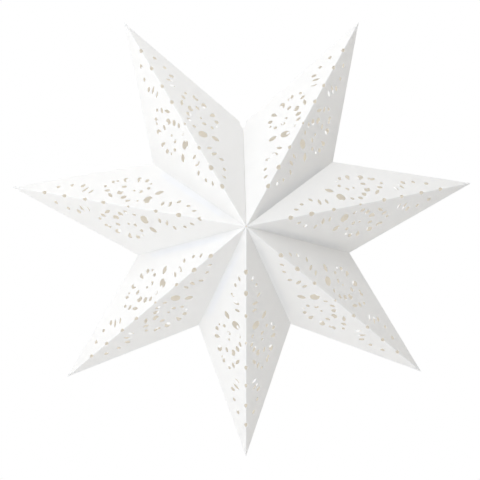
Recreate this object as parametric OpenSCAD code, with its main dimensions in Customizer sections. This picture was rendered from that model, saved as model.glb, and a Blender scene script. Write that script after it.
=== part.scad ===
// Paper star lampshade: seven folded card points, glued side by side into a hanging star.
// The star lies in the XZ plane with its front towards -Y and +Z up. The origin is the
// middle of the cord opening, at the top of the seam where the two end sheets meet.

/* [Star] */
// Distance from the star's centre to its tips
tip_r = 359; // [300:1:420]
// Distance from the star's centre to the notches between glued points
notch_r = 169; // [140:1:195]
// Depth of the star, from the front centre to the back centre
star_depth = 210; // [160:1:260]
// Angle between the two end points, one on each side of the seam
seam_gap = 60; // [54:1:66]

/* [Card] */
// Thickness of the card
card_t = 0.4; // [0.3:0.05:0.8]
// Width of the flaps that glue each sheet to its neighbour
flap_w = 10; // [6:1:14]
// Distance from each end of a valley to its glue flap
flap_inset = 20; // [16:1:30]
// Thickness of the glue between a flap and its neighbour
glue_t = 0.1; // [0.05:0.05:0.3]
// Opening left at the front and back centre, where the folds meet
centre_hole_d = 3; // [2:0.5:6]

/* [Seam] */
// Diameter of the cord opening at the top of the seam
cord_hole_d = 10; // [6:0.5:14]
// Width of the closing flaps that are folded in along the seam
closing_w = 12; // [8:1:16]
// Distance from the ends of the seam to its closing flaps
closing_inset = 24; // [18:1:36]
// Thickness of the adhesive strips that hold the closing flaps together
strip_t = 0.3; // [0.1:0.05:0.6]
// Card left bare around each adhesive strip
strip_margin = 2; // [1:0.5:3]

/* [Cut-outs] */
// Size of the cut-outs, where 1 is as drawn
cut_size = 1; // [0.7:0.05:1.1]

/* [Hidden] */

points = 7;
pitch = (360 - seam_gap) / (points - 1);
valley_angle = pitch / 2;
seam_angle = seam_gap / 2;
half_depth = star_depth / 2;

// Corners of the facet that lies to the front and left of a point's ridge, seen from
// the tip: X runs along the point, Z towards the front
front = [0, 0, half_depth];
tip = [tip_r, 0, 0];
notch = notch_r * [cos(valley_angle), sin(valley_angle), 0];

// Axes of that facet's own flat sheet: along the ridge, across it, and out of the face
function unit(v) = v / norm(v);
along = unit(tip - front);
outward = unit(cross(tip - front, notch - front));
across = cross(outward, along);
ridge_length = norm(tip - front);
flat_notch = [(notch - front) * along, (notch - front) * across];
valley_length = norm(notch - front);
valley_slope = atan2(flat_notch[1], flat_notch[0]);

// Where the outline of an end sheet, carried on past the notch, reaches the seam
seam_notch_r = tip_r * notch[1]
    / (notch[1] * cos(seam_angle) + (tip_r - notch[0]) * sin(seam_angle));
seam_length = norm([seam_notch_r, half_depth]);
seam_slope = atan2(half_depth, seam_notch_r);

// Each facet's blank reaches this far past it, and is cut back along the folds
spare = 20;
// A block that is larger than the star, for cutting along a plane
block = 2 * (tip_r + half_depth);
// A glue flap's blank reaches this far past its fold, to join its own facet
flap_lip = 5 * card_t;

// The pattern is drawn on a flat facet of this length, with its notch corner here
drawn_length = 374;
drawn_notch = [176.5, 92];
facet_scale = cut_size
    * min(ridge_length / drawn_length, flat_notch[1] / drawn_notch[1]);

// Dots punched through the fold of the ridge: place along it and diameter
RIDGE_DOTS = [
    [69, 8], [102, 8.5], [137.5, 6.5], [181, 4.5],
    [221, 7], [251, 6.5], [285, 7], [318.5, 7]
];
// Cut-outs of one facet: shape, place along and across, length, width and turn
CUTOUTS = [
    ["leaf", 82, 12.5, 8, 4, -20],
    ["leaf", 93.5, 20, 6.5, 4.5, -15],
    ["leaf", 110, 25, 8.5, 4.5, -52],
    ["leaf", 121.5, 18, 11.5, 5, 90],
    ["leaf", 132.5, 16.5, 9.5, 4.5, 98],
    ["oval", 157, 19.5, 14.5, 11.5, -60],
    ["leaf", 145, 36, 14, 7, -35],
    ["leaf", 173, 13, 7.5, 4.5, -35],
    ["leaf", 186, 11.5, 9, 5, -28],
    ["oval", 195, 16.5, 9, 6.5, -38],
    ["arch", 203.5, 24.5, 10, 8, 0],
    ["leaf", 216.5, 16.5, 12, 5, 38],
    ["leaf", 224.5, 24.5, 9.5, 5, -22],
    ["dot", 231, 32, 5, 5, 0],
    ["oval", 173.5, 32.5, 7, 5, -55],
    ["dot", 184, 32.5, 4, 4, 0],
    ["dot", 164, 41.5, 5.5, 5.5, 0],
    ["dot", 164, 51, 4, 4, 0],
    ["drop", 172, 55, 8, 6.5, -45],
    ["drop", 184.5, 54.5, 11, 7, -90],
    ["oval", 202, 37, 8, 5, -18],
    ["oval", 203.5, 50.5, 10.5, 8.5, 22],
    ["arch", 219.5, 44, 11.5, 7, -18],
    ["leaf", 248.5, 17, 10.5, 4, -58],
    ["leaf", 258.5, 19, 14, 4, -60],
    ["oval", 265, 25.5, 8, 5.5, -52],
    ["leaf", 282, 23, 6.5, 5, -40],
    ["leaf", 301, 15.5, 8, 5.5, -10]
];
$fn = 32;

// A place on the drawn facet, carried to the facet of this star
function on_facet(place) =
    let (up = place[1] / drawn_notch[1])
    [(place[0] - up * drawn_notch[0]) * ridge_length / drawn_length, 0] + up * flat_notch;

// Two arcs that meet in a point at each end
module leaf(l, w) {
    r = (l * l + w * w) / (4 * w);
    intersection() {
        translate([0, r - w / 2]) circle(r);
        translate([0, w / 2 - r]) circle(r);
    }
}

// A leaf with its two points rounded off
module oval(l, w) {
    uncut = 1.2 * l;
    intersection() {
        leaf(uncut, w);
        circle(d = l);
    }
}

// A round end drawn out to a point
module drop(l, w) {
    middle = (w - l) / 2;
    shoulder = 0.46 * w;
    translate([middle, 0]) circle(d = w);
    polygon([[l / 2, 0], [middle, shoulder], [middle, -shoulder]]);
}

// A petal with a hollow base
module arch(l, w) {
    hollow_d = 0.6 * l;
    hollow_y = 0.65 * w;
    difference() {
        oval(l, w);
        translate([0, hollow_y]) circle(d = hollow_d);
    }
}

module cutout(shape, l, w) {
    if (shape == "dot") circle(d = w);
    if (shape == "leaf") leaf(l, w);
    if (shape == "oval") oval(l, w);
    if (shape == "drop") drop(l, w);
    if (shape == "arch") arch(l, w);
}

module pattern() {
    for (dot = RIDGE_DOTS)
        translate(on_facet([dot[0], 0])) circle(d = dot[1] * facet_scale);
    for (c = CUTOUTS)
        translate(on_facet([c[1], c[2]]))
            rotate(c[5]) cutout(c[0], c[3] * facet_scale, c[4] * facet_scale);
}

// Stands a flat sheet up in the plane of the facet, its outer face at z = 0
module in_facet() {
    multmatrix([
        [along[0], across[0], outward[0], front[0]],
        [along[1], across[1], outward[1], front[1]],
        [along[2], across[2], outward[2], front[2]]
    ]) children();
}

// The neighbour's facet is the mirror image of this one across the valley
module in_next_facet() {
    mirror([-sin(valley_angle), cos(valley_angle), 0]) in_facet() children();
}

// Everything outside the plane that lies depth below the neighbour's outer face
module up_to_neighbour(depth) {
    in_next_facet() translate([-block / 2, -block / 2, -depth]) cube(block);
}

// Everything on this sheet's side of the seam, less half the adhesive strip
module up_to_seam() {
    rotate(seam_angle) translate([-block / 2, -block - strip_t / 2, -block / 2]) cube(block);
}

// One of a point's four facets, mitred at the ridge and at the outline
module facet(edge) {
    intersection() {
        in_facet() translate([0, 0, -card_t]) linear_extrude(card_t)
            difference() {
                translate([-spare, -spare]) square(ridge_length + 2 * spare);
                pattern();
            }
        cube(block);
        if (edge == "seam") up_to_seam();
        else up_to_neighbour(edge == "flap" ? 2 * card_t + glue_t : -glue_t);
    }
}

// A band below the X axis with slanted ends, and a lip above the axis
module band(length, inset, width, lip) {
    polygon([
        [inset, lip],
        [inset, 0],
        [inset + width, -width],
        [length - inset - width, -width],
        [length - inset, 0],
        [length - inset, lip]
    ]);
}

// The flap lies against the inside of the neighbour's facet, folded along the valley
module glue_flap() {
    intersection() {
        in_next_facet() translate([0, 0, -2 * card_t - glue_t]) linear_extrude(card_t)
            rotate(valley_slope) band(valley_length, flap_inset, flap_w, flap_lip);
        in_facet() translate([-block / 2, -block / 2, -card_t]) cube(block);
    }
}

// The plane of the seam: X runs out along the seam's front edge, Z into this sheet
module in_seam() {
    rotate(seam_angle) rotate([90, 0, 0])
        translate([0, half_depth, 0]) rotate(-seam_slope) children();
}

// The flap is folded in along the seam, and meets its twin through the adhesive strip
module closing_flap() {
    in_seam() translate([0, 0, strip_t / 2]) linear_extrude(card_t)
        band(seam_length, closing_inset, closing_w, 0);
}

// The strip lies inside the outline of the closing flaps
module closing_strip() {
    in_seam() translate([0, -strip_margin, -strip_t / 2]) linear_extrude(strip_t)
        band(seam_length, closing_inset + 2 * strip_margin, closing_w - 2 * strip_margin, 0);
}

module cord_hole() {
    rotate(seam_angle) rotate([0, 90, 0]) cylinder(d = cord_hole_d, h = block);
}

// One sheet of card: four facets folded at the ridge and the outline, with its flaps.
// The edges are those clockwise and anticlockwise of the point, seen from the front
module folded_point(clockwise, anticlockwise) {
    difference() {
        union() {
            for (back = [0, 1])
                mirror([0, 0, back]) {
                    facet(anticlockwise);
                    mirror([0, 1, 0]) facet(clockwise);
                    if (anticlockwise == "flap") glue_flap();
                    if (anticlockwise == "seam") closing_flap();
                    if (clockwise == "seam") mirror([0, 1, 0]) closing_flap();
                }
        }
        cylinder(d = centre_hole_d, h = 2 * block, center = true);
        if (anticlockwise == "seam") cord_hole();
        if (clockwise == "seam") mirror([0, 1, 0]) cord_hole();
    }
}

// Hangs the star, drawn flat with its front up, from its cord opening
module hang() {
    translate([0, 0, -seam_notch_r]) rotate([90, 0, 0]) children();
}

// The points run anticlockwise from the seam, seen from the front
module star_point(number, clockwise = "glued", anticlockwise = "flap") {
    color("snow") hang() rotate(90 + seam_angle + number * pitch)
        folded_point(clockwise, anticlockwise);
}

module point_top_left() { star_point(0, clockwise = "seam"); }
module point_left() { star_point(1); }
module point_lower_left() { star_point(2); }
module point_bottom() { star_point(3); }
module point_lower_right() { star_point(4); }
module point_right() { star_point(5); }
module point_top_right() { star_point(6, anticlockwise = "seam"); }

module closing_strip_front() {
    color("gainsboro") hang() rotate(90 - seam_angle) closing_strip();
}

module closing_strip_back() {
    color("gainsboro") hang() mirror([0, 0, 1]) rotate(90 - seam_angle) closing_strip();
}

point_top_left();
point_left();
point_lower_left();
point_bottom();
point_lower_right();
point_right();
point_top_right();
closing_strip_front();
closing_strip_back();
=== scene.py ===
"""The paper star lampshade's finished look: seven folded sheets of pierced white card.

Each sheet is built flat, with its cut-outs, and folded into the place of its CAD node.
Lengths are in metres unless a name says otherwise.
"""
import math
import random

import bpy
import numpy as np
from mathutils import Matrix, Vector
from mathutils.geometry import delaunay_2d_cdt
from mathutils.kdtree import KDTree


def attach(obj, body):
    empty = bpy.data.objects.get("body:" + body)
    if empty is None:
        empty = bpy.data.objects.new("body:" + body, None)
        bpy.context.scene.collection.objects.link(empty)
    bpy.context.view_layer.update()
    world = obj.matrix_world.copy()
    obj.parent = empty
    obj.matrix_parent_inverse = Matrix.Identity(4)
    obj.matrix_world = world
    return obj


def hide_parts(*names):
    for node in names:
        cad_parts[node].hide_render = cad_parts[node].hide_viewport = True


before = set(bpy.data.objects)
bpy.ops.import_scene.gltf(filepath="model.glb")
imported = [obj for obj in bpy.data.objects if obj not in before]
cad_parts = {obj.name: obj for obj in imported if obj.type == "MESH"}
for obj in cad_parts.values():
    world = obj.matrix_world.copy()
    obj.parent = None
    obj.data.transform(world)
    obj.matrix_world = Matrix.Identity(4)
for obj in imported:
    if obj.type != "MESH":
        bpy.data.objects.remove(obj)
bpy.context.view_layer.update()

MM = 0.001
random.seed(7)

# The star's driving sizes, as in the CAD model
TIP_R = 359 * MM
NOTCH_R = 169 * MM
HALF_DEPTH = 105 * MM
SEAM_GAP = math.radians(60)
CARD_T = 0.4 * MM
GLUE_T = 0.1 * MM
FLAP_W = 10 * MM
FLAP_INSET = 20 * MM
CENTRE_HOLE_D = 3 * MM
CORD_HOLE_D = 10 * MM
CLOSING_W = 12 * MM
CLOSING_INSET = 24 * MM
STRIP_T = 0.3 * MM

# The sheets, anticlockwise from the seam, seen from the front
POINTS = [
    "point_top_left", "point_left", "point_lower_left", "point_bottom",
    "point_lower_right", "point_right", "point_top_right",
]
PITCH = (2 * math.pi - SEAM_GAP) / (len(POINTS) - 1)
VALLEY_ANGLE = PITCH / 2
SEAM_ANGLE = SEAM_GAP / 2

# An edge that turns through more than this is shaded as a sharp one
SHARP_FROM = math.radians(35)
# The folds are rounded over this distance from their line
RIDGE_ROUND = 0.8 * MM
OUTLINE_ROUND = 0.7 * MM
# The card bows out of its plane by up to this much in the middle of a facet
BOW = (-1.0 * MM, 1.4 * MM)
# Spacing of the points along edges, inside a facet and in the rows beside a fold
EDGE_STEP = 6 * MM
GRID_STEP = 9 * MM
ROW_STEP = 5 * MM
# The rows beside a fold keep this clear of its ends
ROW_FROM_CENTRE = 3 * MM
ROW_FROM_TIP = 10 * MM
ROW_FROM_NOTCH = 8 * MM
# Steps of a whole dot, a dot on the ridge, a drop's round end and the cord opening's edge
DOT_STEPS = 20
RIDGE_DOT_STEPS = 10
DROP_STEPS = 14
OPENING_STEPS = 8
# Points inside a facet keep this clear of cut-outs and edges
GRID_CLEAR = 1.8 * MM
# A triangle that is less high than this joins three points of one line
SLIVER = 0.001 * MM
# Points of a net, and of two patches of a sheet, that are nearer than this are one point
SAME_PLACE = 1e-7
WELD_REACH = 1e-5

# The pattern is drawn in millimetres on a flat facet this long, with its notch corner here
DRAWN_LENGTH = 374
DRAWN_NOTCH = (176.5, 92)
# Dots punched through the ridge's fold: place along it and diameter
RIDGE_DOTS = [
    (69, 8), (102, 8.5), (137.5, 6.5), (181, 4.5),
    (221, 7), (251, 6.5), (285, 7), (318.5, 7),
]
# Cut-outs of one facet: shape, place along and across, length, width and turn in degrees
CUTOUTS = [
    ("leaf", 82, 12.5, 8, 4, -20),
    ("leaf", 93.5, 20, 6.5, 4.5, -15),
    ("leaf", 110, 25, 8.5, 4.5, -52),
    ("leaf", 121.5, 18, 11.5, 5, 90),
    ("leaf", 132.5, 16.5, 9.5, 4.5, 98),
    ("oval", 157, 19.5, 14.5, 11.5, -60),
    ("leaf", 145, 36, 14, 7, -35),
    ("leaf", 173, 13, 7.5, 4.5, -35),
    ("leaf", 186, 11.5, 9, 5, -28),
    ("oval", 195, 16.5, 9, 6.5, -38),
    ("arch", 203.5, 24.5, 10, 8, 0),
    ("leaf", 216.5, 16.5, 12, 5, 38),
    ("leaf", 224.5, 24.5, 9.5, 5, -22),
    ("dot", 231, 32, 5, 5, 0),
    ("oval", 173.5, 32.5, 7, 5, -55),
    ("dot", 184, 32.5, 4, 4, 0),
    ("dot", 164, 41.5, 5.5, 5.5, 0),
    ("dot", 164, 51, 4, 4, 0),
    ("drop", 172, 55, 8, 6.5, -45),
    ("drop", 184.5, 54.5, 11, 7, -90),
    ("oval", 202, 37, 8, 5, -18),
    ("oval", 203.5, 50.5, 10.5, 8.5, 22),
    ("arch", 219.5, 44, 11.5, 7, -18),
    ("leaf", 248.5, 17, 10.5, 4, -58),
    ("leaf", 258.5, 19, 14, 4, -60),
    ("oval", 265, 25.5, 8, 5.5, -52),
    ("leaf", 282, 23, 6.5, 5, -40),
    ("leaf", 301, 15.5, 8, 5.5, -10),
]


def unit(v):
    return v / np.linalg.norm(v)


# One facet, in its point's own frame: X along the point, Z to the front. It lies on the
# anticlockwise side of the ridge, and the point's other three facets are its mirrors
FRONT = np.array([0, 0, HALF_DEPTH])
TIP = np.array([TIP_R, 0, 0])
NOTCH = NOTCH_R * np.array([math.cos(VALLEY_ANGLE), math.sin(VALLEY_ANGLE), 0])
ALONG = unit(TIP - FRONT)
OUTWARD = unit(np.cross(TIP - FRONT, NOTCH - FRONT))
ACROSS = np.cross(OUTWARD, ALONG)
RIDGE_LENGTH = np.linalg.norm(TIP - FRONT)
FLAT_TIP = np.array([RIDGE_LENGTH, 0])
FLAT_NOTCH = np.array([(NOTCH - FRONT) @ ALONG, (NOTCH - FRONT) @ ACROSS])
SEAM_NOTCH_R = TIP_R * NOTCH[1] / (
    NOTCH[1] * math.cos(SEAM_ANGLE) + (TIP_R - NOTCH[0]) * math.sin(SEAM_ANGLE)
)
FACET_SCALE = min(RIDGE_LENGTH / DRAWN_LENGTH, FLAT_NOTCH[1] / DRAWN_NOTCH[1])


def upright(angle):
    """The normal of the upright plane through the star's axis at this angle."""
    return np.array([-math.sin(angle), math.cos(angle), 0])


def mirrored(v, normal):
    return v - 2 * (v @ normal) * normal


VALLEY_OUT = upright(VALLEY_ANGLE)
SEAM_OUT = upright(SEAM_ANGLE)
NEXT_OUTWARD = mirrored(OUTWARD, VALLEY_OUT)
MID_PLANE = np.array([0, 0, 1.0])
RIDGE_SIDE = np.array([0, 1.0, 0])


def flat_line(normal, offset):
    """Where normal @ point is offset on the facet's plane, as (a, b, c) with a x + b y = c."""
    return np.array([normal @ ALONG, normal @ ACROSS, offset - normal @ FRONT])


def crossing(first, second):
    return np.linalg.solve(np.array([first[:2], second[:2]]), np.array([first[2], second[2]]))


def stood_up(flat):
    """Flat points of the facet, stood up in their plane."""
    flat = np.atleast_2d(flat)
    return FRONT + flat[:, :1] * ALONG + flat[:, 1:2] * ACROSS


def arc(middle, radius, start, end, steps):
    angles = np.linspace(start, end, steps + 1)
    return [
        np.array([middle[0] + radius * math.cos(t), middle[1] + radius * math.sin(t)])
        for t in angles
    ]


# Outlines of the cut-outs, each lying along X about its own middle


def dot_outline(length, width):
    return arc((0, 0), width / 2, 0, 2 * math.pi, DOT_STEPS)[:-1]


def leaf_outline(length, width, steps=10):
    """Two arcs that meet in a point at each end."""
    radius = (length**2 + width**2) / (4 * width)
    reach = math.asin(length / 2 / radius)
    side = arc((0, width / 2 - radius), radius, math.pi / 2 - reach, math.pi / 2 + reach, steps)
    return side[:-1] + [-p for p in side[:-1]]


def oval_outline(length, width, steps=7):
    """A leaf with its two points rounded off by a circle."""
    radius = ((1.2 * length) ** 2 + width**2) / (4 * width)
    drop = radius - width / 2
    corner_y = (radius**2 - drop**2 - length**2 / 4) / (2 * drop)
    turn = math.asin(corner_y / (length / 2))
    reach = math.asin(length / 2 * math.cos(turn) / radius)
    end = arc((0, 0), length / 2, -turn, turn, 4)
    side = arc((0, -drop), radius, math.pi / 2 - reach, math.pi / 2 + reach, steps)
    half = end[:-1] + side[:-1]
    return half + [-p for p in half]


def drop_outline(length, width):
    """A round end drawn out to a point."""
    middle = (width - length) / 2
    touch = math.acos(width / 2 / (length / 2 - middle))
    round_end = arc((middle, 0), width / 2, touch, 2 * math.pi - touch, DROP_STEPS)
    return [np.array([length / 2, 0])] + round_end


def arch_outline(length, width):
    """A petal with a hollow base."""
    hollow_r = 0.3 * length
    hollow_y = 0.65 * width
    points = oval_outline(length, width, 14)
    for p in points:
        if p[1] > 0 and abs(p[0]) < hollow_r:
            p[1] = min(p[1], hollow_y - math.sqrt(hollow_r**2 - p[0] ** 2))
    return points


OUTLINES = {
    "dot": dot_outline, "leaf": leaf_outline, "oval": oval_outline,
    "drop": drop_outline, "arch": arch_outline,
}


def on_facet(along, across):
    """A place on the drawn facet, carried to this star's flat facet."""
    up = across / DRAWN_NOTCH[1]
    on_ridge = (along - up * DRAWN_NOTCH[0]) / DRAWN_LENGTH * RIDGE_LENGTH
    return np.array([on_ridge, 0]) + up * FLAT_NOTCH


def cutout_loops():
    """The closed outlines of one facet's cut-outs, on the flat facet."""
    loops = []
    for shape, along, across, length, width, turn in CUTOUTS:
        c, s = math.cos(math.radians(turn)), math.sin(math.radians(turn))
        outline = OUTLINES[shape](length * FACET_SCALE, width * FACET_SCALE)
        middle = on_facet(along, across)
        loops.append([
            middle + np.array([c * p[0] - s * p[1], s * p[0] + c * p[1]]) for p in outline
        ])
    return loops


def between(start, end, step=EDGE_STEP):
    """Points from start up to, but not with, end."""
    count = max(1, round(np.linalg.norm(end - start) / step))
    return [start + (end - start) * i / count for i in range(count)]


def ridge_edge():
    """The ridge from the centre to the tip, round one half of each dot punched in it."""
    place = np.array([CENTRE_HOLE_D / 2 / TIP_R * RIDGE_LENGTH, 0])
    points = []
    for along, diameter in RIDGE_DOTS:
        middle, radius = on_facet(along, 0), diameter / 2 * FACET_SCALE
        points += between(place, middle - [radius, 0])
        points += arc(middle, radius, math.pi, 0, RIDGE_DOT_STEPS)[:-1]
        place = middle + [radius, 0]
    return points + between(place, FLAT_TIP)


def inside(points, loop):
    """Whether each point lies inside the closed loop, by counting crossings."""
    x, y = np.asarray(points).T
    odd = np.zeros(len(x), bool)
    for p, q in zip(loop, loop[1:] + loop[:1]):
        level = (p[1] > y) != (q[1] > y)
        if level.any():
            odd ^= level & (x < p[0] + (y - p[1]) / (q[1] - p[1]) * (q[0] - p[0]))
    return odd


def distance_to(points, loop):
    """How far each point is from the closed loop's nearest side."""
    least = np.full(len(points), np.inf)
    for p, q in zip(loop, loop[1:] + loop[:1]):
        side = q - p
        share = np.clip((points - p) @ side / (side @ side), 0, 1)
        least = np.minimum(least, np.linalg.norm(points - p - share[:, None] * side, axis=1))
    return least


def without_slivers(points, faces):
    """The triangles without slivers.

    One on the border is left out, and any other is cut anew together with its neighbour.
    """
    owner = {}
    waiting = list(range(len(faces)))
    for i, (a, b, c) in enumerate(faces):
        owner.update({(a, b): i, (b, c): i, (c, a): i})
    while waiting:
        i = waiting.pop()
        if not faces[i]:
            continue
        turns = [faces[i][k:] + faces[i][:k] for k in range(3)]
        a, c, b = max(turns, key=lambda t: np.linalg.norm(points[t[1]] - points[t[0]]))
        long_side, short_side = points[c] - points[a], points[b] - points[a]
        length = np.linalg.norm(long_side)
        if abs(long_side[0] * short_side[1] - long_side[1] * short_side[0]) > SLIVER * length:
            continue
        j = owner.pop((c, a), None)
        del owner[a, c]
        if j is None:
            faces[i] = None
            del owner[c, b], owner[b, a]
            continue
        d = next(p for p in faces[j] if p not in (a, c))
        faces[i], faces[j] = [a, d, b], [d, c, b]
        owner.update({(a, d): i, (d, b): i, (b, a): i, (d, c): j, (c, b): j, (b, d): j})
        waiting += [i, j]
    return [f for f in faces if f]


class Net:
    """One flat facet: its points, its triangles, and the fold of its flap."""

    def __init__(self, edge):
        if edge == "seam":
            side = flat_line(SEAM_OUT, -STRIP_T / 2)
            self.notch = crossing(flat_line(SEAM_OUT, 0), flat_line(MID_PLANE, 0))
            shares = np.linspace(0, 1, OPENING_STEPS + 1)
            upper = between(FLAT_TIP, self.opening(0)) + [self.opening(t) for t in shares]
            corner = upper.pop()
            fold_length = math.hypot(SEAM_NOTCH_R, HALF_DEPTH)
            inset, angle = CLOSING_INSET, SEAM_ANGLE
        else:
            depth = -(CARD_T + GLUE_T) if edge == "flap" else GLUE_T
            side = flat_line(NEXT_OUTWARD, NEXT_OUTWARD @ FRONT + depth)
            self.notch = FLAT_NOTCH
            corner = crossing(side, flat_line(MID_PLANE, 0))
            upper = between(FLAT_TIP, corner)
            fold_length = np.linalg.norm(NOTCH - FRONT)
            inset, angle = FLAP_INSET, VALLEY_ANGLE
        towards = np.array([math.cos(angle), math.sin(angle), 0])
        centre = crossing(side, flat_line(towards, CENTRE_HOLE_D / 2))
        direction = unit(corner - centre)
        start = centre - direction * (centre @ direction)
        first, last = start + direction * (fold_length - inset), start + direction * inset
        self.fold = between(first, last) + [last]
        far_edge = between(corner, first) + self.fold[:-1] + between(last, centre) + [centre]
        self.triangulate(ridge_edge() + upper + far_edge)

    def opening(self, share):
        """A point of the cord opening's edge, from the outline to the seam."""
        t = share * math.pi / 2
        from_seam = max(CORD_HOLE_D / 2 * math.cos(t), STRIP_T / 2)
        height = CORD_HOLE_D / 2 * math.sin(t)
        return crossing(flat_line(SEAM_OUT, -from_seam), flat_line(MID_PLANE, height))

    def triangulate(self, outline):
        loops = cutout_loops()
        points, edges = [], []
        for loop in [outline] + loops:
            first = len(points)
            points += loop
            edges += [(first + i, first + (i + 1) % len(loop)) for i in range(len(loop))]
        for row in self.fold_rows():
            first = len(points)
            points += row
            edges += [(first + i, first + i + 1) for i in range(len(row) - 1)]
        points += list(self.grid(outline, loops))
        places = [Vector(p) for p in points]
        verts, _, faces, *_ = delaunay_2d_cdt(places, edges, [], 0, SAME_PLACE)
        verts = np.array([tuple(v) for v in verts], float)
        faces = np.array(faces)
        middles = verts[faces].mean(axis=1)
        keep = inside(middles, outline)
        for loop in loops:
            keep &= ~inside(middles, loop)
        faces = faces[keep]
        ab = verts[faces[:, 1]] - verts[faces[:, 0]]
        ac = verts[faces[:, 2]] - verts[faces[:, 0]]
        clockwise = ab[:, 0] * ac[:, 1] < ab[:, 1] * ac[:, 0]
        faces[clockwise] = faces[clockwise][:, ::-1]
        faces = np.array(without_slivers(verts, faces.tolist()))
        used, numbers = np.unique(faces, return_inverse=True)
        self.flat = verts[used]
        self.faces = numbers.reshape(faces.shape).tolist()

    def fold_rows(self):
        """Rows of points beside the ridge and the outline, where the folds are rounded."""
        down = unit(self.notch - FLAT_TIP)
        into = np.array([-down[1], down[0]])
        length = np.linalg.norm(self.notch - FLAT_TIP)
        for share in (0.5, 1.0):
            low = share * RIDGE_ROUND
            near_centre = np.array([ROW_FROM_CENTRE, low])
            near_tip = np.array([RIDGE_LENGTH - ROW_FROM_TIP, low])
            yield between(near_centre, near_tip, ROW_STEP)
            beside = FLAT_TIP + into * share * OUTLINE_ROUND
            near_tip = beside + down * ROW_FROM_TIP
            yield between(near_tip, beside + down * (length - ROW_FROM_NOTCH), ROW_STEP)

    def grid(self, outline, loops):
        """Evenly spread points inside the facet, clear of every edge."""
        rows = []
        row_step = GRID_STEP * math.sqrt(3) / 2
        for row in range(1, int(self.notch[1] / row_step) + 1):
            shift = GRID_STEP / 2 * (row % 2)
            rows += [(x, row * row_step) for x in np.arange(shift, RIDGE_LENGTH, GRID_STEP)]
        rows = np.array(rows)
        rows = rows[inside(rows, outline)]
        for loop in loops:
            rows = rows[~inside(rows, loop)]
        for loop in [outline] + loops:
            rows = rows[distance_to(rows, loop) > GRID_CLEAR]
        return rows

    def folded(self, bow):
        """The facet's points stood up, with rounded folds and bowed card."""
        across = self.flat[:, 1] / self.notch[1]
        to_tip = (self.flat[:, 0] - across * self.notch[0]) / RIDGE_LENGTH
        to_centre = 1 - across - to_tip
        # The product of the three shares is 1 / 27 in the middle and nothing on the edges
        bulge = 27 * np.prod(np.clip([across, to_tip, to_centre], 0, 1), axis=0)
        ridge_up = unit(OUTWARD * [1, 0, 1])
        outline_up = unit(OUTWARD * [1, 1, 0])
        down = unit(self.notch - FLAT_TIP)
        from_outline = (self.flat - FLAT_TIP) @ np.array([-down[1], down[0]])
        ridge_lean, outline_lean = math.asin(OUTWARD[1]), math.asin(OUTWARD[2])
        return (
            stood_up(self.flat)
            + bow * bulge[:, None] * OUTWARD
            + rounding(self.flat[:, 1], RIDGE_ROUND, ridge_lean, RIDGE_SIDE, ridge_up)
            + rounding(from_outline, OUTLINE_ROUND, outline_lean, MID_PLANE, outline_up)
        )


def rounding(distance, reach, lean, sideways, up):
    """How far points this distance from a fold move, to make it an arc, not a sharp line.

    The card turns through twice the lean. sideways points over the facet, and up out of the fold.
    """
    radius = reach / math.tan(lean)
    near = np.clip(distance, 0, reach)[:, None]
    angle = lean * near / reach
    return (
        (radius * np.sin(angle) - near * math.cos(lean)) * sideways
        + (radius * np.cos(angle) - radius / math.cos(lean) + near * math.sin(lean)) * up
    )


def flap(net, edge):
    """The glue flap or the closing flap beyond the facet's far edge: its points and faces."""
    out, width = (SEAM_OUT, CLOSING_W) if edge == "seam" else (NEXT_OUTWARD, FLAP_W)
    inwards = -FRONT if edge == "seam" else VALLEY_OUT
    fold = stood_up(np.array(net.fold))
    along = unit(fold[-1] - fold[0])
    length = np.linalg.norm(fold[-1] - fold[0])
    down = np.cross(out, along)
    down *= np.sign(down @ inwards)
    points = list(fold)
    for drop in (width / 8, width):
        for p in fold:
            share = np.linalg.norm(p - fold[0]) / length
            points.append(fold[0] + along * (drop + share * (length - 2 * drop)) + down * drop)
    points = np.array(points)
    n = len(fold)
    faces = [[a, a + 1, a + n + 1, a + n] for row in (0, n) for a in range(row, row + n - 1)]
    if np.cross(along, down) @ out < 0:
        faces = [f[::-1] for f in faces]
    return points, faces


class Sheet:
    """One sheet of card, gathered patch by patch into one surface."""

    def __init__(self):
        self.keys, self.points, self.faces = [], [], []

    def add(self, keys, points, faces, side, face):
        """Adds a patch: side -1 mirrors it across the ridge, and face -1 to the back.

        Points of two patches are joined where their keys share a place.
        """
        mirror = np.array([1, side, face])
        first = len(self.points)
        self.keys += [tuple(k) for k in keys * mirror]
        self.points += list(points * mirror)
        for f in faces:
            f = [first + i for i in f]
            self.faces.append(f if side * face > 0 else f[::-1])

    def welded(self):
        """The points and faces, with each shared point at the average of its copies."""
        tree = KDTree(len(self.keys))
        for i, key in enumerate(self.keys):
            tree.insert(key, i)
        tree.balance()
        owner = [-1] * len(self.keys)
        placed = []
        for i, key in enumerate(self.keys):
            if owner[i] < 0:
                close = tree.find_range(key, WELD_REACH)
                members = [j for _, j, _ in close if owner[j] < 0]
                for j in members:
                    owner[j] = len(placed)
                placed.append(tuple(np.mean([self.points[j] for j in members], axis=0)))
        faces = [[owner[i] for i in f] for f in self.faces]
        return placed, [f for f in faces if len(set(f)) == len(f)]


def with_modifier(obj, kind, **settings):
    """Adds a modifier and applies it."""
    modifier = obj.modifiers.new(kind.lower(), kind)
    for name, value in settings.items():
        setattr(modifier, name, value)
    graph = bpy.context.evaluated_depsgraph_get()
    mesh = bpy.data.meshes.new_from_object(obj.evaluated_get(graph))
    obj.modifiers.clear()
    obj.data = mesh


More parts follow.
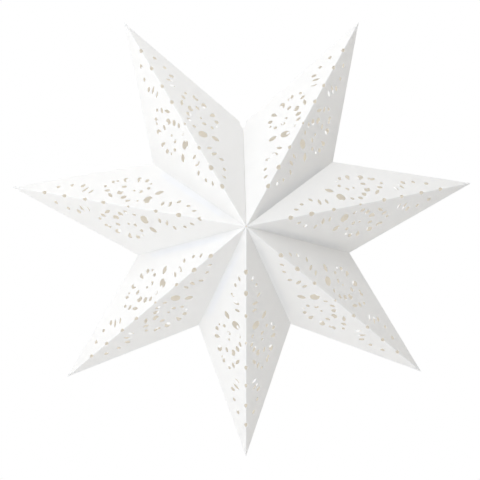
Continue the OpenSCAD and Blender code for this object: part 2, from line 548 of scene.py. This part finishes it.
def folded_point(number, nets, materials):
    """One sheet of card, in place of its CAD node: its outer face and its inner face."""
    clockwise = "seam" if number == 0 else "glued"
    anticlockwise = "seam" if number == len(POINTS) - 1 else "flap"
    sheet = Sheet()
    for side, edge in ((1, anticlockwise), (-1, clockwise)):
        net = nets[edge]
        for face in (1, -1):
            bow = random.uniform(*BOW)
            sheet.add(stood_up(net.flat), net.folded(bow), net.faces, side, face)
            if edge != "glued":
                points, faces = flap(net, edge)
                sheet.add(points, points, faces, side, face)
    points, faces = sheet.welded()
    mesh = bpy.data.meshes.new(POINTS[number] + "_card")
    mesh.from_pydata(points, [], faces)
    turn = math.pi / 2 + SEAM_ANGLE + number * PITCH
    mesh.transform(
        Matrix.Translation((0, 0, -SEAM_NOTCH_R))
        @ Matrix.Rotation(math.pi / 2, 4, "X")
        @ Matrix.Rotation(turn, 4, "Z")
    )
    for material in materials:
        mesh.materials.append(material)
    card = bpy.data.objects.new(mesh.name, mesh)
    bpy.context.scene.collection.objects.link(card)
    with_modifier(card, "SOLIDIFY", thickness=CARD_T, offset=-1, material_offset=1)
    card.data.polygons.foreach_set("use_smooth", [True] * len(card.data.polygons))
    card.data.set_sharp_from_angle(angle=SHARP_FROM)
    with_modifier(card, "WEIGHTED_NORMAL", keep_sharp=True, weight=90)
    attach(card, "root")
    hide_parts(POINTS[number])


def node(tree, kind, at, **settings):
    made = tree.nodes.new(kind)
    made.location = at
    for name, value in settings.items():
        setattr(made, name, value)
    return made


# How much of the light that falls on the card comes out on its other face
SHARE_PASSED = 0.45


def card_material(name, darker, lighter, passed):
    """One face of thin matt card: its colour mottled between two tones, and the light it passes.
    """
    mat = bpy.data.materials.new(name)
    mat.use_nodes = True
    tree = mat.node_tree
    tree.nodes.clear()
    out = node(tree, "ShaderNodeOutputMaterial", (900, 0))
    mix = node(tree, "ShaderNodeMixShader", (700, 0))
    mix.inputs["Fac"].default_value = SHARE_PASSED
    front = node(tree, "ShaderNodeBsdfPrincipled", (350, 100))
    front.inputs["Roughness"].default_value = 0.85
    front.inputs["IOR"].default_value = 1.4
    through = node(tree, "ShaderNodeBsdfTranslucent", (350, -300))
    through.inputs["Color"].default_value = passed
    place = node(tree, "ShaderNodeTexCoord", (-900, 0))
    cloud = node(tree, "ShaderNodeTexNoise", (-650, 150))
    cloud.inputs["Scale"].default_value = 60
    cloud.inputs["Detail"].default_value = 4
    tone = node(tree, "ShaderNodeValToRGB", (-400, 150))
    tone.color_ramp.elements[0].position = 0.3
    tone.color_ramp.elements[0].color = darker
    tone.color_ramp.elements[1].position = 0.7
    tone.color_ramp.elements[1].color = lighter
    fibre = node(tree, "ShaderNodeTexNoise", (-650, -200))
    fibre.inputs["Scale"].default_value = 1400
    fibre.inputs["Detail"].default_value = 3
    bump = node(tree, "ShaderNodeBump", (0, -200))
    bump.inputs["Strength"].default_value = 0.15
    bump.inputs["Distance"].default_value = 0.05 * MM
    link = tree.links.new
    link(place.outputs["Object"], cloud.inputs["Vector"])
    link(place.outputs["Object"], fibre.inputs["Vector"])
    link(cloud.outputs["Fac"], tone.inputs["Fac"])
    link(tone.outputs["Color"], front.inputs["Base Color"])
    link(fibre.outputs["Fac"], bump.inputs["Height"])
    link(bump.outputs["Normal"], front.inputs["Normal"])
    link(front.outputs["BSDF"], mix.inputs[1])
    link(through.outputs["BSDF"], mix.inputs[2])
    link(mix.outputs["Shader"], out.inputs["Surface"])
    return mat


def tape_material():
    """The closing strips: double-sided tape."""
    mat = bpy.data.materials.new("adhesive tape")
    mat.use_nodes = True
    tree = mat.node_tree
    body = tree.nodes["Principled BSDF"]
    body.inputs["Roughness"].default_value = 0.35
    place = node(tree, "ShaderNodeTexCoord", (-900, 0))
    mottle = node(tree, "ShaderNodeTexNoise", (-650, 0))
    mottle.inputs["Scale"].default_value = 250
    tone = node(tree, "ShaderNodeValToRGB", (-400, 0))
    tone.color_ramp.elements[0].color = (0.78, 0.76, 0.7, 1)
    tone.color_ramp.elements[1].color = (0.88, 0.87, 0.83, 1)
    tree.links.new(place.outputs["Object"], mottle.inputs["Vector"])
    tree.links.new(mottle.outputs["Fac"], tone.inputs["Fac"])
    tree.links.new(tone.outputs["Color"], body.inputs["Base Color"])
    return mat


# The star
card_faces = (
    # The outside is tinted a little blue, to offset the painted warm light that passes out through
    # the card
    card_material(
        "white card",
        darker=(0.915, 0.93, 0.955, 1),
        lighter=(0.94, 0.955, 0.98, 1),
        passed=(0.92, 0.94, 0.975, 1),
    ),
    # The inside face and the light it passes are tinted cream: painted warm light, for the dim
    # light inside the shade
    card_material(
        "card inside with painted warm light",
        darker=(0.95, 0.9, 0.8, 1),
        lighter=(0.965, 0.915, 0.82, 1),
        passed=(0.96, 0.92, 0.85, 1),
    ),
)
nets = {edge: Net(edge) for edge in ("flap", "glued", "seam")}
for number in range(len(POINTS)):
    folded_point(number, nets, card_faces)
tape = tape_material()
for name in ("closing_strip_front", "closing_strip_back"):
    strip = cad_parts[name]
    strip.data.materials.clear()
    strip.data.materials.append(tape)

# The camera is in front of the star, a little to its left and above its middle, and is
# turned down and to the right by these angles, and rolled a little
CENTRE = Vector((0, 0, -SEAM_NOTCH_R))
CAMERA_AT = Vector((-0.038, -1.2, 0.013))
CAMERA_DOWN, CAMERA_ROLL, CAMERA_RIGHT = (math.radians(t) for t in (1.68, 0.53, 1.54))
lens = bpy.data.cameras.new("camera")
lens.lens = 58.47
lens.sensor_width = 36
lens.clip_end = 20
camera = bpy.data.objects.new("camera", lens)
camera.location = CENTRE + CAMERA_AT
camera.rotation_euler = (math.pi / 2 - CAMERA_DOWN, CAMERA_ROLL, -CAMERA_RIGHT)
bpy.context.scene.collection.objects.link(camera)
bpy.context.scene.camera = camera


LAMP_SIZE = 1.2
DAYLIGHT = (0.975, 0.985, 1)


def lamp(name, at, power):
    """A square area light that faces the star's middle."""
    light = bpy.data.lights.new(name, "AREA")
    light.size = LAMP_SIZE
    light.energy = power
    light.color = DAYLIGHT
    obj = bpy.data.objects.new(name, light)
    obj.location = CENTRE + Vector(at)
    obj.rotation_euler = (CENTRE - obj.location).to_track_quat("-Z", "Y").to_euler()
    bpy.context.scene.collection.objects.link(obj)


# Soft light from the left, from above and back up from below, in a bright white room
lamp("window", (-1.9, -1.2, 0.4), 19)
lamp("skylight", (-0.2, -1.2, 1.9), 24)
lamp("floor", (-0.6, -1.2, -1.9), 18.5)

world = bpy.data.worlds.new("white room")
bpy.context.scene.world = world
world.use_nodes = True
tree = world.node_tree
tree.nodes.clear()
out = node(tree, "ShaderNodeOutputWorld", (600, 0))
mix = node(tree, "ShaderNodeMixShader", (400, 0))
room = node(tree, "ShaderNodeBackground", (100, 100))
room.inputs["Color"].default_value = (*DAYLIGHT, 1)
room.inputs["Strength"].default_value = 0.55
# What the camera, gloss and passed light see is plain white
seen = node(tree, "ShaderNodeBackground", (100, -100))
seen.inputs["Color"].default_value = (1, 1, 1, 1)
path = node(tree, "ShaderNodeLightPath", (-400, 200))
camera_or_glossy = node(tree, "ShaderNodeMath", (-150, 250), operation="MAXIMUM")
any_seen = node(tree, "ShaderNodeMath", (50, 250), operation="MAXIMUM")
tree.links.new(path.outputs["Is Camera Ray"], camera_or_glossy.inputs[0])
tree.links.new(path.outputs["Is Glossy Ray"], camera_or_glossy.inputs[1])
tree.links.new(camera_or_glossy.outputs[0], any_seen.inputs[0])
tree.links.new(path.outputs["Is Transmission Ray"], any_seen.inputs[1])
tree.links.new(any_seen.outputs[0], mix.inputs["Fac"])
tree.links.new(room.outputs[0], mix.inputs[1])
tree.links.new(seen.outputs[0], mix.inputs[2])
tree.links.new(mix.outputs[0], out.inputs["Surface"])
bpy.context.scene.view_settings.view_transform = "Standard"
